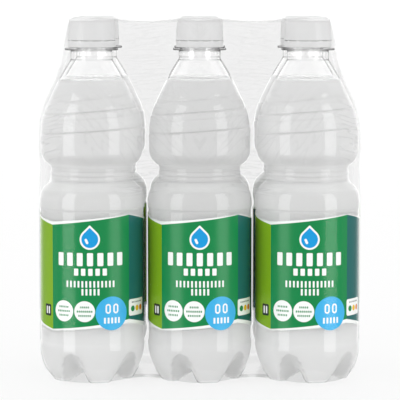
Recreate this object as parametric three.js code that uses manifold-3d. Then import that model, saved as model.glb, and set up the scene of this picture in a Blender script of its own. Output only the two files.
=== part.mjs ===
// Six pack of half-litre drink bottles: two rows of three clear bottles with caps, labels and drink,
// held together by one sleeve of shrink film that is open in an oval hole at each end.
// Millimetres, +Z up. X runs along a row, the front faces -Y, and the origin is the middle of the underside.

import * as THREE from "three";
import { mergeVertices } from "three/addons/utils/BufferGeometryUtils.js";
import Module from "manifold-3d";

// Driving dimensions. Heights are measured from the plane that the bottles' feet stand on.
const BODY_RADIUS = 32.5;
const PITCH = 66.5; // from bottle axis to bottle axis, along a row and from row to row
const WALL = 0.8;
const GAP = 0.3; // clear space between pieces that touch in real life

// The bottle's base has five feet with arched valleys between them.
const FEET = 5;
const FOOT_TURN = 14.3; // degrees from the front to the middle of the nearest foot
const FLANK_ANGLE = 18; // degrees from the middle of a valley to the flat of a foot
const FOOT_INNER_RADIUS = 20.5;
const FOOT_OUTER_RADIUS = 25;
const DOME_HEIGHT = 5.5;
const VALLEY_TOP = 17.7; // height at which a valley runs out into the wall
const VALLEY_POWER = 2.5;
const HEEL_HEIGHT = 22;
const HEEL_BULGE = [32.05, 11];

// The label sits in a shallow recess, with a plain belt above it.
const PANEL_RADIUS = 31.9;
const PANEL_LOW = 24.5;
const PANEL_HIGH = 105.5;
const BELT_LOW = 107;
const BELT_HIGH = 110;

// The grip is a narrow waist, and above it the shoulder swells out again.
const BELT_TURN = [32.3, 116.5];
const WAIST_SLOPE = [28.8, 119.8];
const WAIST_RADIUS = 25.4;
const WAIST_LOW = 123.6;
const WAIST_HIGH = 131.5;
const BULGE_RADIUS = 31.6;
const BULGE_TURN = 135;
const BULGE_LOW = 143;
const BULGE_HIGH = 152;
const SHOULDER_TURN = [31.5, 162];
const CONE_LOW = [26.3, 172.3];

// The neck carries a flange below the cap.
const NECK_RADIUS = 12.8;
const NECK_LOW = 197.3;
const FLANGE_RADIUS = 16.3;
const FLANGE_LOW = 203.1;
const FLANGE_HIGH = 204.3;
const FINISH_LOW_RADIUS = 13.2;
const FINISH_HIGH_RADIUS = 12.6;
const MOUTH_HEIGHT = 221.7;
const BORE_RADIUS = 10.9;
const BORE_LOW = 198.5;

// The hollow inside the bottle, and how high the drink stands in it.
const HOLLOW_BASE = 6.8;
const HOLLOW_CORNER = [24, 12.8];
const HOLLOW_WAIST = [123.8, 131];
const HOLLOW_SHOULDER = [28, 163.5];
const HOLLOW_BELT = 114;
const DRINK_LEVEL = 184.7;

// The screw cap, and the tamper ring that stays on the neck below it.
const CAP_RADIUS = 14.55;
const CAP_TOP_RADIUS = 14.2;
const CAP_LOW = 209.1;
const CAP_HIGH = 223.3;
const CAP_EDGE = 2.8; // radius of the rounded top edge
const CAP_BORE = 13.7;
const RING_LOW = 204.8;
const RING_HIGH = 208.7;

// The label's two edges run in step, up and down between four corners.
const LABEL_THICKNESS = 0.3;
const LABEL_HIGH = 104.2; // the top edge at its high corners
const LABEL_DIP = 4.6; // how far that edge drops to its low corners
const LABEL_HEIGHT = 67.2; // from edge to edge, everywhere
const LABEL_LOW_CORNERS = [-46, 88]; // degrees from the front
const LABEL_HIGH_CORNERS = [46.5, 256];

// The film follows the bottles' outline. Each entry is a height and the radius round the bottle axes.
const FILM_THICKNESS = 0.5;
const FILM_UNDERSIDE_RADIUS = 26.2;
const FILM_RADIUS = BODY_RADIUS + GAP + FILM_THICKNESS;
const FILM_LEVELS = [
  [10.2, 31.6],
  [23, FILM_RADIUS],
  [155, FILM_RADIUS],
  [172.3, 29.1],
  [184, 22.9],
  [203, 17.6],
  [221, 15.5],
];
const FILM_TOP_RADIUS = 13.9;
const FILM_SAG = 2.4; // how far the top sheet hangs between caps
const CAP_REST = 12; // half the length of sheet that lies flat on a cap
const HOLE_HALF_WIDTH = 26;
const HOLE_HALF_HEIGHT = 42;
const HOLE_CENTRE = 100;

// How finely round shapes are divided.
const SIDES = 4 * FEET;
const CAP_SIDES = 16;
const CORNER_SIDES = 4;
const HOLE_SIDES = 20;
const CURVE_STEPS = 2;

const DEGREE = Math.PI / 180;
const FIRST_SIDE = FOOT_TURN * DEGREE;
const LIFT = FILM_THICKNESS + GAP; // the bottles stand on the film's lower sheet

const wasm = await Module();
wasm.setup();

const MATERIALS = {
  bottle: new THREE.MeshStandardMaterial({
    color: 0xdfe6e8,
    roughness: 0.08,
    metalness: 0,
    transparent: true,
    opacity: 0.35,
  }),
  cap: new THREE.MeshStandardMaterial({ color: 0xe9ebeb, roughness: 0.45, metalness: 0 }),
  drink: new THREE.MeshStandardMaterial({ color: 0xd6d7d6, roughness: 0.15, metalness: 0 }),
  label: new THREE.MeshStandardMaterial({ color: 0x12854a, roughness: 0.35, metalness: 0 }),
  film: new THREE.MeshStandardMaterial({
    color: 0xeef0f1,
    roughness: 0.12,
    metalness: 0,
    transparent: true,
    opacity: 0.2,
  }),
};

// Turns an outline of [radius, height] points round the Z axis. Angle 0 faces the front.
function turned(points, sides, firstAngle) {
  const outline = points.map(([radius, height]) => new THREE.Vector2(radius, height));
  const geometry = new THREE.LatheGeometry(outline, sides, firstAngle);
  return geometry.rotateX(Math.PI / 2);
}

// The points of a path that mixes straight lines and curves.
function pointsOf(path) {
  return path.getPoints(CURVE_STEPS).map((point) => [point.x, point.y]);
}

// Moves every point of a geometry up or down. rise gets the radius, the height and the angle from the front.
function reshaped(geometry, rise) {
  const place = geometry.getAttribute("position");
  for (let i = 0; i < place.count; i++) {
    const [x, y, z] = [place.getX(i), place.getY(i), place.getZ(i)];
    place.setZ(i, z + rise(Math.hypot(x, y), z, Math.atan2(x, -y) / DEGREE));
  }
  return geometry;
}

// The underside of a valley between two feet: a bowl that climbs to the wall.
function valleyHeight(radius) {
  const share = Math.min(radius / BODY_RADIUS, 1);
  return DOME_HEIGHT + (VALLEY_TOP - DOME_HEIGHT) * share ** VALLEY_POWER;
}

// 1 on a foot, 0 in the middle of a valley, with straight flanks in between.
function footShare(angle) {
  const spacing = 360 / FEET;
  const fromFoot = (angle - FOOT_TURN + 360) % spacing;
  const fromValley = Math.abs(fromFoot - spacing / 2);
  return Math.min(fromValley / FLANK_ANGLE, 1);
}

// How far a point of the bottle's outside is lifted where the base arches between its feet.
function valleyRise(radius, height, angle) {
  const depth = Math.max(valleyHeight(radius) - height, 0);
  return depth * (1 - footShare(angle));
}

function bottleOutside() {
  const path = new THREE.Path();
  path.moveTo(0, DOME_HEIGHT);
  path.lineTo(FOOT_INNER_RADIUS, 0);
  path.lineTo(FOOT_OUTER_RADIUS, 0);
  path.quadraticCurveTo(...HEEL_BULGE, BODY_RADIUS, HEEL_HEIGHT);
  path.lineTo(PANEL_RADIUS, PANEL_LOW);
  path.lineTo(PANEL_RADIUS, PANEL_HIGH);
  path.lineTo(BODY_RADIUS, BELT_LOW);
  path.lineTo(BODY_RADIUS, BELT_HIGH);
  path.quadraticCurveTo(...BELT_TURN, ...WAIST_SLOPE);
  path.lineTo(WAIST_RADIUS, WAIST_LOW);
  path.lineTo(WAIST_RADIUS, WAIST_HIGH);
  path.quadraticCurveTo(BULGE_RADIUS, BULGE_TURN, BULGE_RADIUS, BULGE_LOW);
  path.lineTo(BULGE_RADIUS, BULGE_HIGH);
  path.quadraticCurveTo(...SHOULDER_TURN, ...CONE_LOW);
  path.lineTo(NECK_RADIUS, NECK_LOW);
  path.lineTo(NECK_RADIUS, FLANGE_LOW);
  path.lineTo(FLANGE_RADIUS, FLANGE_LOW);
  path.lineTo(FLANGE_RADIUS, FLANGE_HIGH);
  path.lineTo(FINISH_LOW_RADIUS, FLANGE_HIGH);
  path.lineTo(FINISH_HIGH_RADIUS, MOUTH_HEIGHT);
  return pointsOf(path);
}

// The hollow's outline from its lowest point to the bore, drawn in by an inset.
function hollow(inset) {
  const panel = PANEL_RADIUS - WALL - inset;
  const waist = WAIST_RADIUS - WALL - inset;
  const bulge = BULGE_RADIUS - WALL - inset;
  return [
    [0, HOLLOW_BASE + inset],
    [HOLLOW_CORNER[0] - inset, HOLLOW_CORNER[1] + inset],
    [panel, PANEL_LOW],
    [panel, HOLLOW_BELT],
    [waist, HOLLOW_WAIST[0]],
    [waist, HOLLOW_WAIST[1]],
    [bulge, BULGE_LOW],
    [bulge, BULGE_HIGH],
    [HOLLOW_SHOULDER[0] - inset, HOLLOW_SHOULDER[1]],
    [BORE_RADIUS - inset, BORE_LOW],
  ];
}

function bottleGeometry() {
  const mouth = [BORE_RADIUS, MOUTH_HEIGHT];
  const outline = [...bottleOutside(), mouth, ...hollow(0).reverse()];
  return reshaped(turned(outline, SIDES, FIRST_SIDE), valleyRise);
}

function drinkGeometry() {
  const outline = hollow(GAP);
  const [boreRadius, boreLow] = outline.pop();
  const [shoulderRadius, shoulderHeight] = outline.at(-1);
  const share = (DRINK_LEVEL - shoulderHeight) / (boreLow - shoulderHeight);
  const surfaceRadius = shoulderRadius + (boreRadius - shoulderRadius) * share;
  outline.push([surfaceRadius, DRINK_LEVEL], [0, DRINK_LEVEL]);
  return turned(outline, SIDES, FIRST_SIDE);
}

function capGeometry() {
  const path = new THREE.Path();
  path.moveTo(0, MOUTH_HEIGHT + GAP);
  path.lineTo(CAP_BORE, MOUTH_HEIGHT + GAP);
  path.lineTo(CAP_BORE, CAP_LOW);
  path.lineTo(CAP_RADIUS, CAP_LOW);
  path.lineTo(CAP_TOP_RADIUS, CAP_HIGH - CAP_EDGE);
  path.quadraticCurveTo(CAP_TOP_RADIUS, CAP_HIGH, CAP_TOP_RADIUS - CAP_EDGE, CAP_HIGH);
  path.lineTo(0, CAP_HIGH);
  return turned(pointsOf(path), CAP_SIDES, FIRST_SIDE);
}

function tamperRingGeometry() {
  const outline = [
    [CAP_BORE, RING_LOW],
    [CAP_RADIUS, RING_LOW],
    [CAP_RADIUS, RING_HIGH],
    [CAP_BORE, RING_HIGH],
    [CAP_BORE, RING_LOW],
  ];
  return turned(outline, CAP_SIDES, FIRST_SIDE);
}

// How far the label's edges lie below their high corners: straight from each corner to the next.
function labelDip(angle) {
  const [firstLow, secondLow] = LABEL_LOW_CORNERS;
  const [firstHigh, secondHigh] = LABEL_HIGH_CORNERS;
  const turn = firstLow + ((angle - firstLow + 360) % 360);
  const corners = [firstLow, firstHigh, secondLow, secondHigh, firstLow + 360];
  const next = corners.findIndex((corner) => turn < corner);
  const share = (turn - corners[next - 1]) / (corners[next] - corners[next - 1]);
  return LABEL_DIP * (next % 2 ? 1 - share : share);
}

function labelGeometry() {
  const inner = PANEL_RADIUS + GAP;
  const outer = inner + LABEL_THICKNESS;
  const low = LABEL_HIGH - LABEL_HEIGHT;
  const outline = [
    [inner, low],
    [outer, low],
    [outer, LABEL_HIGH],
    [inner, LABEL_HIGH],
    [inner, low],
  ];
  const sleeve = turned(outline, SIDES, FIRST_SIDE);
  return reshaped(sleeve, (radius, height, angle) => -labelDip(angle));
}

// Half of the film's outline seen from above: the front side from the left end to the right end. Its corners
// lie just outside the circle round each corner bottle, so that the flats between them touch that circle.
function filmFront(radius) {
  const reach = radius / Math.cos((45 / CORNER_SIDES) * DEGREE);
  const corner = (centre, angle) => [
    centre + reach * Math.sin(angle * DEGREE),
    -PITCH / 2 - reach * Math.cos(angle * DEGREE),
  ];
  const steps = Array.from({ length: CORNER_SIDES }, (_, i) => ((i + 0.5) * 90) / CORNER_SIDES);
  const flats = [];
  for (const bottle of [-PITCH, 0]) {
    flats.push(bottle + CAP_REST, bottle + PITCH / 2, bottle + PITCH - CAP_REST);
  }
  return [
    ...steps.toReversed().map((angle) => corner(-PITCH, -angle)),
    ...flats.map((x) => [x, -PITCH / 2 - radius]),
    ...steps.map((angle) => corner(PITCH, angle)),
  ];
}

// A closed body inside a stack of outlines, each a height and a radius. The top sheet sags between the caps.
function filmBody(levels) {
  const positions = [];
  const index = [];
  levels.forEach(([height, radius], level) => {
    const top = level === levels.length - 1;
    const front = filmFront(radius);
    const back = front.toReversed().map(([x, y]) => [x, -y]);
    for (const [x, y] of [...front, ...back]) {
      const between = Math.abs(Math.abs(x) - PITCH / 2) < CAP_REST / 2;
      positions.push(x, y, height - (top && between ? FILM_SAG : 0));
    }
  });
  const count = 2 * filmFront(0).length;
  for (let level = 1; level < levels.length; level++) {
    for (let i = 0; i < count; i++) {
      const [low, lowNext] = [(level - 1) * count + i, (level - 1) * count + ((i + 1) % count)];
      index.push(low, lowNext, lowNext + count, low, lowNext + count, low + count);
    }
  }
  const roof = (levels.length - 1) * count;
  for (let i = 0; i < count / 2 - 1; i++) {
    const [near, nearNext, farNext, far] = [i, i + 1, count - 2 - i, count - 1 - i];
    index.push(near, farNext, nearNext, near, far, farNext);
    index.push(roof + near, roof + nearNext, roof + farNext, roof + near, roof + farNext, roof + far);
  }
  const geometry = new THREE.BufferGeometry();
  geometry.setAttribute("position", new THREE.Float32BufferAttribute(positions, 3));
  return geometry.setIndex(index);
}

// A closed geometry as a solid that can be joined and cut.
function solidOf(geometry) {
  const bare = geometry.clone();
  bare.deleteAttribute("normal");
  bare.deleteAttribute("uv");
  const merged = mergeVertices(bare, 1e-4);
  return new wasm.Manifold(
    new wasm.Mesh({
      numProp: 3,
      vertProperties: merged.getAttribute("position").array,
      triVerts: new Uint32Array(merged.index.array),
    }),
  );
}

function geometryOf(solid) {
  const mesh = solid.getMesh();
  const geometry = new THREE.BufferGeometry();
  geometry.setAttribute("position", new THREE.BufferAttribute(mesh.vertProperties, 3));
  geometry.setIndex(new THREE.BufferAttribute(mesh.triVerts, 1));
  geometry.computeVertexNormals();
  return geometry;
}

// One long oval bar along X that opens both ends of the film at once.
function endHoles() {
  const oval = new THREE.Shape();
  oval.absellipse(0, 0, HOLE_HALF_WIDTH, HOLE_HALF_HEIGHT, 0, 2 * Math.PI, false, 0);
  const depth = 4 * PITCH;
  const bar = new THREE.ExtrudeGeometry(oval, {
    depth,
    curveSegments: HOLE_SIDES,
    bevelEnabled: false,
  });
  bar.translate(0, HOLE_CENTRE, -depth / 2);
  return bar.rotateX(Math.PI / 2).rotateZ(Math.PI / 2);
}

function filmGeometry() {
  const raised = FILM_LEVELS.map(([height, radius]) => [height + LIFT, radius]);
  const roof = CAP_HIGH + LIFT + GAP;
  const outside = filmBody([
    [0, FILM_UNDERSIDE_RADIUS],
    ...raised,
    [roof + FILM_THICKNESS, FILM_TOP_RADIUS],
  ]);
  const inside = filmBody([
    [FILM_THICKNESS, FILM_UNDERSIDE_RADIUS - FILM_THICKNESS],
    ...raised.map(([height, radius]) => [height, radius - FILM_THICKNESS]),
    [roof, FILM_TOP_RADIUS - FILM_THICKNESS],
  ]);
  const shell = solidOf(outside).subtract(solidOf(inside));
  return geometryOf(shell.subtract(solidOf(endHoles())));
}

// One bottle with everything on and in it, standing on its own feet.
function filledBottle(place) {
  const pieces = [
    ["bottle", bottleGeometry(), MATERIALS.bottle],
    ["drink", drinkGeometry(), MATERIALS.drink],
    ["label", labelGeometry(), MATERIALS.label],
    ["tamper_ring", tamperRingGeometry(), MATERIALS.cap],
    ["cap", capGeometry(), MATERIALS.cap],
  ];
  const group = new THREE.Group();
  for (const [piece, geometry, material] of pieces) {
    const mesh = new THREE.Mesh(geometry, material);
    mesh.name = `${piece}_${place}`;
    group.add(mesh);
  }
  return group;
}

// The front row faces the front, and the back row is turned round to face the back.
function sixPack() {
  const pack = new THREE.Group();
  for (const [row, y, turn] of [
    ["front", -PITCH / 2, 0],
    ["back", PITCH / 2, Math.PI],
  ]) {
    for (const [column, x] of [
      ["left", -PITCH],
      ["mid", 0],
      ["right", PITCH],
    ]) {
      const bottle = filledBottle(`${row}_${column}`);
      bottle.position.set(x, y, LIFT);
      bottle.rotation.z = turn;
      pack.add(bottle);
    }
  }
  const film = new THREE.Mesh(filmGeometry(), MATERIALS.film);
  film.name = "shrink_film";
  pack.add(film);
  return pack;
}

export default sixPack();
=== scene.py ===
"""Looks of a shrink-wrapped six pack of drink bottles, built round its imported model.

Sizes in the classes are millimetres, heights are measured from the plane that the bottles' feet
stand on, and angles are degrees from the front, towards +X. Blender's own objects are in metres.
"""

import logging
import math
from collections.abc import Callable, Iterable
from dataclasses import dataclass, field
from enum import Enum
from functools import partial
from typing import Any

import bmesh
import bpy
import numpy as np
from mathutils import Matrix, Vector


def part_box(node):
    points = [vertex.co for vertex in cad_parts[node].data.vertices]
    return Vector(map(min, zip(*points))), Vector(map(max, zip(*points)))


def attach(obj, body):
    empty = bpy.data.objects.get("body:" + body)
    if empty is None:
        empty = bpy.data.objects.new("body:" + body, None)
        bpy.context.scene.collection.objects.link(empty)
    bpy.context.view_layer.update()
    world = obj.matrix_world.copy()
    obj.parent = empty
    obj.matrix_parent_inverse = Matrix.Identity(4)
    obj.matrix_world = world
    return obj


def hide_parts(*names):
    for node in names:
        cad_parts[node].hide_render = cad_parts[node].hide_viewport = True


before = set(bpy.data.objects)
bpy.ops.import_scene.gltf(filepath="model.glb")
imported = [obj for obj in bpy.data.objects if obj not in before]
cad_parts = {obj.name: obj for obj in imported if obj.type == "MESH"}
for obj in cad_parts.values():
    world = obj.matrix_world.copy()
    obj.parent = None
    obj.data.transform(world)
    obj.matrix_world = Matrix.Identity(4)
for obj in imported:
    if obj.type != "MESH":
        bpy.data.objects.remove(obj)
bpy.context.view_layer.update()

MM = 0.001
BODY = "root"
LOG = logging.getLogger("six_pack")

Add = Callable[..., bpy.types.Node]
Point = tuple[float, float]
Stroke = tuple[Point | None, Point, float]
Numbers = np.ndarray | float

# A Mix node's colour inputs and output, by number, since its other kinds share their names.
MIX_A, MIX_B, MIX_COLOUR = 6, 7, 2
FULL = (1.0, 1.0, 1.0, 1.0)
# The blend at which a LayerWeight's facing is 1 less the cosine of the viewing angle, and the
# power of it by which a clear surface mirrors more towards its edge.
EVEN_BLEND, GLANCE_POWER = 0.5, 5.0
# The smallest ring of a surface that a point on the axis shuts, in millimetres.
POLE_RADIUS = 1.0


class Row(Enum):
    """The two rows of bottles, and how far each is turned about the vertical."""

    FRONT = 0.0
    BACK = math.pi


class Column(Enum):
    """The three bottles of a row, as the front is seen."""

    LEFT = "left"
    MID = "mid"
    RIGHT = "right"


def linear(code: str) -> tuple[float, float, float, float]:
    """Turns an sRGB hex colour to the linear colour that a shader takes.

    Args:
        code: Six hex digits, with or without a leading hash sign.

    Returns:
        Red, green, blue and an alpha of 1.
    """
    digits = code.lstrip("#")
    channels = [int(digits[i : i + 2], 16) / 255 for i in (0, 2, 4)]
    red, green, blue = (
        c / 12.92 if c <= 0.04045 else ((c + 0.055) / 1.055) ** 2.4 for c in channels
    )
    return (red, green, blue, 1.0)


def node(
    tree: bpy.types.NodeTree, kind: str, inputs: dict[int | str, Any] | None = None, **settings: Any
) -> bpy.types.Node:
    """Adds a shader node to a tree, with its settings and what comes into it.

    Args:
        tree: The tree that the node goes into.
        kind: Blender's name for the node's kind, less "ShaderNode".
        inputs: What each input gets, by name or number: a value, a socket or a node, which gives
            its first output.
        **settings: The node's own settings.

    Returns:
        The new node.
    """
    made = tree.nodes.new(f"ShaderNode{kind}")
    for name, value in settings.items():
        setattr(made, name, value)
    for key, value in (inputs or {}).items():
        if isinstance(value, bpy.types.Node):
            value = value.outputs[0]
        if isinstance(value, bpy.types.NodeSocket):
            tree.links.new(value, made.inputs[key])
        else:
            made.inputs[key].default_value = value
    return made


def mirror_share(add: Add, head_on: float, at_rim: float, bump: bpy.types.Node) -> bpy.types.Node:
    """Adds the nodes that say how much a clear skin mirrors: little head on, more at a glance.

    A skin of film or wall mirrors alike from both of its sides, which a Fresnel node doesn't.

    Args:
        add: Adds a node to the material, as node does.
        head_on: The share that is mirrored head on.
        at_rim: The share that is mirrored where the skin is seen edge on.
        bump: The skin's bump.

    Returns:
        The node that gives the share.
    """
    facing = add("LayerWeight", {"Blend": EVEN_BLEND, "Normal": bump}).outputs["Facing"]
    glance = add("Math", {0: facing, 1: GLANCE_POWER}, operation="POWER")
    return add("MapRange", {"Value": glance, "To Min": head_on, "To Max": at_rim})


def eased(values: np.ndarray, low: float, high: float) -> np.ndarray:
    """Goes smoothly from 0 at low to 1 at high.

    Args:
        values: Where to read the curve.
        low: The value where it leaves 0.
        high: The value where it reaches 1.

    Returns:
        The curve's height at each value.
    """
    share = np.clip((values - low) / (high - low), 0.0, 1.0)
    return share * share * (3.0 - 2.0 * share)


def ridge(distance: np.ndarray, width: float) -> np.ndarray:
    """A rounded ridge of height 1 along a line, which has dropped to about a third at its width."""
    return np.exp(-((distance / width) ** 2))


def drawn(start: Point, strokes: Iterable[Stroke]) -> list[Point]:
    """Draws a half outline as [radius, height] points.

    Args:
        start: Where it starts.
        strokes: For each line or curve, the point that it bends towards, or None where it is
            straight, where it ends, and about how far apart its points are.

    Returns:
        The outline's points.
    """
    points = [start]
    for control, end, step in strokes:
        first = points[-1]
        bent = control or ((first[0] + end[0]) / 2, (first[1] + end[1]) / 2)
        count = max(1, math.ceil((math.dist(first, bent) + math.dist(bent, end)) / step))
        for t in (i / count for i in range(1, count + 1)):
            weights = ((1 - t) ** 2, 2 * t * (1 - t), t * t)
            parts = list(zip(weights, (first, bent, end)))
            points.append(tuple(sum(w * p[axis] for w, p in parts) for axis in (0, 1)))
    return points


def revolved(points: list[Point], sides: int) -> np.ndarray:
    """Turns an outline round the vertical axis.

    Args:
        points: The outline's [radius, height] points.
        sides: How many points go round.

    Returns:
        An array of rings by sides by x, y, z.
    """
    angle = np.arange(sides) * 2 * math.pi / sides
    radius, height = np.array(points).T[..., None]
    return np.stack(
        [radius * np.sin(angle), -radius * np.cos(angle), np.repeat(height, sides, axis=1)], axis=2
    )


def outward(grid: np.ndarray) -> np.ndarray:
    """Directions away from a grid that was drawn from the bottom up.

    Args:
        grid: An array of rings by sides by x, y, z.

    Returns:
        A unit direction for each point.
    """
    along = np.roll(grid, -1, axis=1) - np.roll(grid, 1, axis=1)
    normal = np.cross(along, np.gradient(grid, axis=0))
    return normal / np.maximum(np.linalg.norm(normal, axis=2, keepdims=True), 1e-9)


def polar(grid: np.ndarray) -> tuple[np.ndarray, np.ndarray, np.ndarray]:
    """Reads a grid's radius, height and angle from the front.

    Args:
        grid: An array of points by x, y, z in its last axis.

    Returns:
        Radius, height and angle in degrees, each shaped as the grid.
    """
    x, y, z = grid[..., 0], grid[..., 1], grid[..., 2]
    return np.hypot(x, y), z, np.degrees(np.arctan2(x, -y))


def quads(rings: int, sides: int, shut: bool = True) -> list[tuple[int, ...]]:
    """Lists the faces of a grid of points that is numbered ring by ring.

    Args:
        rings: How many rings it has.
        sides: How many points a ring has.
        shut: Whether each ring's last point joins its first.

    Returns:
        The numbers of each face's points.
    """
    pairs = [(i, (i + 1) % sides) for i in range(sides if shut else sides - 1)]
    rows = [(ring * sides, (ring + 1) * sides) for ring in range(rings - 1)]
    return [(low + i, low + j, high + j, high + i) for low, high in rows for i, j in pairs]


def mesh_of(name: str, vertices: list[Any], faces: list[tuple[int, ...]]) -> bpy.types.Mesh:
    """Makes a mesh.

    Args:
        name: Its name.
        vertices: The places of its points.
        faces: The numbers of each face's points.

    Returns:
        The mesh.
    """
    mesh = bpy.data.meshes.new(name)
    mesh.from_pydata(vertices, [], faces)
    return mesh


def lathe_mesh(name: str, grid: np.ndarray, loop: bool = False) -> bpy.types.Mesh:
    """Makes a smooth mesh of a grid that goes round the vertical axis.

    Args:
        name: The mesh's name.
        grid: Rings by sides by x, y, z in millimetres, drawn so that the outside is on its right.
        loop: Whether the last ring joins the first. If not, a point on the axis shuts each end.

    Returns:
        The mesh, in metres.
    """
    rings, sides = grid.shape[:2]
    vertices = [tuple(p) for p in grid.reshape(-1, 3) * MM]
    count = len(vertices)
    faces = [tuple(i % count for i in face) for face in quads(rings + loop, sides)]
    for ring, order in () if loop else ((0, -1), (rings - 1, 1)):
        vertices.append((0.0, 0.0, float(grid[ring, :, 2].mean()) * MM))
        pole = len(vertices) - 1
        pairs = [(ring * sides + i, ring * sides + (i + 1) % sides) for i in range(sides)]
        faces += [(*pair[::order], pole) for pair in pairs]
    mesh = mesh_of(name, vertices, faces)
    mesh.validate()
    return smoothed(mesh)


def smoothed(mesh: bpy.types.Mesh, sharp_angle: float = 35.0) -> bpy.types.Mesh:
    """Shades a mesh smooth, apart from edges sharper than an angle.

    Args:
        mesh: The mesh.
        sharp_angle: The angle in degrees.

    Returns:
        The same mesh.
    """
    mesh.polygons.foreach_set("use_smooth", [True] * len(mesh.polygons))
    mesh.set_sharp_from_angle(angle=math.radians(sharp_angle))
    return mesh


def give_shares(mesh: bpy.types.Mesh, shares: dict[str, np.ndarray]) -> None:
    """Gives each point of a mesh the shares that its finish reads, by their names."""
    for name, share in shares.items():
        mesh.attributes.new(name, "FLOAT", "POINT").data.foreach_set("value", share)


def placed(name: str, data: bpy.types.ID) -> bpy.types.Object:
    """Puts an object into the scene.

    Args:
        name: The object's name.
        data: Its mesh, light or camera.

    Returns:
        The object.
    """
    made = bpy.data.objects.new(name, data)
    bpy.context.scene.collection.objects.link(made)
    return made


def unseen(thing: bpy.types.Object, *rays: str) -> None:
    """Hides a thing from some kinds of rays."""
    for ray in rays:
        setattr(thing, f"visible_{ray}", False)


@dataclass(frozen=True)
class Place:
    """Where one bottle of the pack stands, in metres."""

    row: Row
    column: Column
    x: float
    y: float
    foot: float

    @property
    def name(self) -> str:
        """The ending that this bottle's nodes and pieces share."""
        return f"{self.row.name.lower()}_{self.column.value}"

    @classmethod
    def read(cls, row: Row, column: Column) -> "Place":
        """Finds a bottle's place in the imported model.

        Args:
            row: The bottle's row.
            column: The bottle's column.

        Returns:
            The place of its axis and of its feet.
        """
        low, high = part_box(f"bottle_{row.name.lower()}_{column.value}")
        return cls(row, column, (low.x + high.x) / 2, (low.y + high.y) / 2, low.z)


class Finish:
    """What all finishes share: each makes one material by nodes of its own."""

    name: str

    def shader(self, add: Add) -> bpy.types.Node:
        """Adds the finish's own nodes.

        Args:
            add: Adds a node to the material, as node does.

        Returns:
            The shader for the surface.
        """
        raise NotImplementedError

    def make(self) -> bpy.types.Material:
        """Builds the material.

        Returns:
            The finished material.
        """
        material = bpy.data.materials.new(self.name)
        material.use_nodes = True
        material.node_tree.nodes.clear()
        add = partial(node, material.node_tree)
        add("OutputMaterial", {"Surface": self.shader(add)})
        return material


@dataclass(frozen=True)
class ClearPet(Finish):
    """Polyethylene terephthalate, stretch blow moulded: glass-clear, with a hard, shiny skin."""

    name = "blow_moulded_pet"
    # The wall is thick round the neck, where its outline is painted dark, a painted shade for the
    # light that the thick wall turns away, and light from the sides is bent into view just within
    # it.
    # "wall" is a point attribute that sets how strong that painted shade is: 0 for the body, whose
    # wall is slight, up to 1 for the thick neck, more where it is solid. Another point attribute
    # holds
    # painted shade too: fine dark lines along creases, which show best head on, dark arches between
    # the feet and a dark band under the swell.
    rim_tint: str = "#8C8C8C"
    rim_from: float = 0.66
    thick_share: float = 0.025
    solid_depth: float = 0.2
    bent: tuple[Point, ...] = ((0.36, 0.0), (0.5, 0.12), (0.74, 0.08), (0.84, 0.02))
    bent_roughness: float = 0.1
    # How fast the painted dark lines fade from head on to edge on.
    line_fade: float = 2.0
    mirror: float = 0.035
    rim_mirror: float = 0.11
    roughness: float = 0.035
    ripple_mm: float = 22.0
    ripple_depth: float = 2.0
    ripple_strength: float = 0.06

    def shader(self, add: Add) -> bpy.types.Node:
        """Adds a clear wall with dark rims, under a skin that mirrors.

        Args:
            add: Adds a node to the material, as node does.

        Returns:
            The shader for the surface.
        """
        place = add("TexCoord").outputs["Object"]
        size = {"Scale": 1 / (self.ripple_mm * MM), "Detail": 1.0}
        ripple = add("TexNoise", {"Vector": place, **size})
        relief = {"Strength": self.ripple_strength, "Distance": self.ripple_depth * MM}
        bump = add("Bump", {"Height": ripple, **relief})
        wall = add("Attribute", attribute_name="wall").outputs["Fac"]
        bend = add("Attribute", attribute_name="bend").outputs["Fac"]
        facing = add("LayerWeight", {"Blend": EVEN_BLEND}).outputs["Facing"]
        ends = {"From Min": self.rim_from, "To Min": self.thick_share}
        rim = add("MapRange", {"Value": facing, **ends})
        edge = add("Math", {0: rim, 1: wall}, operation="MULTIPLY")
        solid = add("Math", {0: wall, 1: 1.0}, operation="SUBTRACT")
        depth = add("Math", {0: facing, 1: self.solid_depth}, operation="ADD")
        body = add("Math", {0: solid, 1: depth, 2: 0.0}, operation="MULTIPLY_ADD", use_clamp=True)
        front = add("Math", {0: 1.0, 1: facing}, operation="SUBTRACT")
        near = add("Math", {0: front, 1: self.line_fade}, operation="POWER")
        line = add("Math", {0: near, 1: bend}, operation="MULTIPLY")
        darker = add("Math", {0: edge, 1: body}, operation="MAXIMUM")
        dark = add("Math", {0: darker, 1: line}, operation="MAXIMUM")
        # The clear wall's tint is painted shade: darker at thick outlines, in the solid flange,
        # along creases, in the arches between the feet and under the swell.
        tints = {MIX_A: FULL, MIX_B: linear(self.rim_tint)}
        tint = add("Mix", {0: dark, **tints}, data_type="RGBA").outputs[MIX_COLOUR]
        clear = add("BsdfTransparent", {"Color": tint})
        mirror = mirror_share(add, self.mirror, self.rim_mirror, bump)
        lit = add("Math", {0: 1.0, 1: dark}, operation="SUBTRACT")
        shine = add("Math", {0: mirror, 1: lit}, operation="MULTIPLY")
        skin = add("BsdfGlossy", {"Color": shine, "Roughness": self.roughness, "Normal": bump})
        both = add("AddShader", {0: clear, 1: skin})
        lens = add("ValToRGB", {0: facing})
        stops = lens.color_ramp.elements
        for i, (at, share) in enumerate(self.bent):
            stop = stops[i] if i < 2 else stops.new(at)
            stop.position, stop.color = at, (share, share, share, 1.0)
        shown = add("Math", {0: lens, 1: wall}, operation="MULTIPLY")
        share = add("Math", {0: shown, 1: body}, operation="SUBTRACT", use_clamp=True)
        white = add("BsdfGlossy", {"Color": FULL, "Roughness": self.bent_roughness})
        return add("MixShader", {0: share, 1: both, 2: white})


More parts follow.
